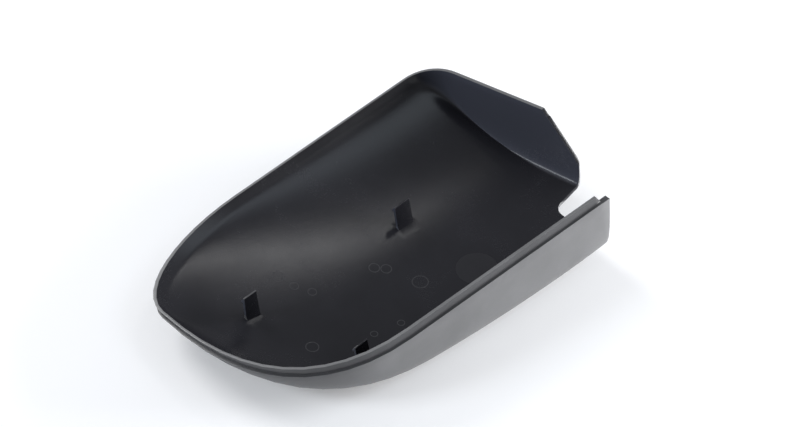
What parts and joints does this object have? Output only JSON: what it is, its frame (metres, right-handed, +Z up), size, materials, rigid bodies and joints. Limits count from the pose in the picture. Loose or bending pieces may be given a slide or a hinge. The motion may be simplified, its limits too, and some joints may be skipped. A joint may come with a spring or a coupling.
{
  "type": "wing mirror cover",
  "caption": "Moulded clip-fit back cover for a car's door mirror: a deep satin black shell with a thin lip, barbed clips and an opening for the mirror's arm",
  "frame": {"origin": "middle of the lying cover's box, at its lowest point", "axes": "+Z up out of the hollow as the cover lies on its crown, +X along the cover from the nose to the inboard end, +Y towards the far long side"},
  "size_m": [0.2489, 0.1542, 0.0603],
  "materials": {
    "moulded_plastic": "satin black moulding, a little shinier where it is smooth"
  },
  "bodies": {
    "root": {"mirror_cover": "moulded_plastic"}
  },
  "joints": []
}
